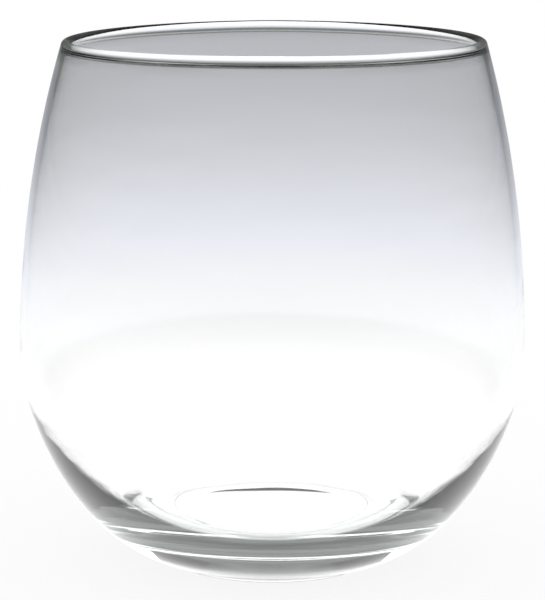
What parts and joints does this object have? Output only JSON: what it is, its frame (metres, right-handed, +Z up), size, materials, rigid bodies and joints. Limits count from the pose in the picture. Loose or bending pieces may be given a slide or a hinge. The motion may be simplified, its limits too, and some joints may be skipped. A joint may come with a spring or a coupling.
{
  "type": "stemless wine glass",
  "caption": "Clear stemless wine glass: round tapering bowl with a thin wall, a rounded rim bead, a thick rounded base and a low standing ring.",
  "frame": {"origin": "centre of the flat ring face that the glass stands on", "axes": "+Z up along the glass's axis of symmetry"},
  "size_m": [0.098, 0.098, 0.1024],
  "materials": {
    "clear_glass": "fire-polished clear soda-lime glass, very faintly grey-green where it is thick"
  },
  "bodies": {
    "root": {"bowl": "clear_glass"}
  },
  "joints": []
}
